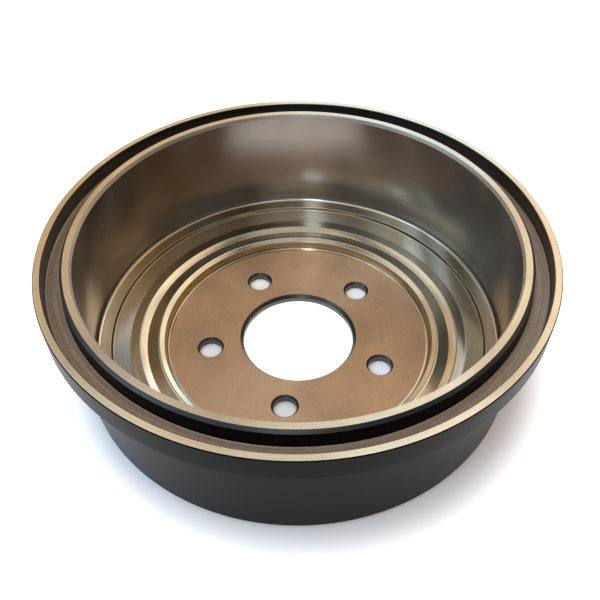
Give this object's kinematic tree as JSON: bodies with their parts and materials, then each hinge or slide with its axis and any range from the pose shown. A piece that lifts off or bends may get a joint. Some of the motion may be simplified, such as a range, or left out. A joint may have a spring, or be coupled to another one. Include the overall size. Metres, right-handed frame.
{
  "type": "brake drum",
  "caption": "Round cast-iron brake drum with a cylindrical friction surface, a stepped end wall with a bored hub face and lug holes, and a grooved double lip at the open mouth.",
  "frame": {"origin": "centre of the wheel face, which the drum stands on", "axes": "+Z along the axis of revolution, from the wheel face to the open mouth; a lug hole lies 45.5 degrees from +X towards +Y"},
  "size_m": [0.296, 0.296, 0.0905],
  "materials": {
    "cast_iron": "turned bare iron inside and on the lips, dark coating on the cast outside"
  },
  "bodies": {
    "root": {"brake_drum": "cast_iron"}
  },
  "joints": []
}
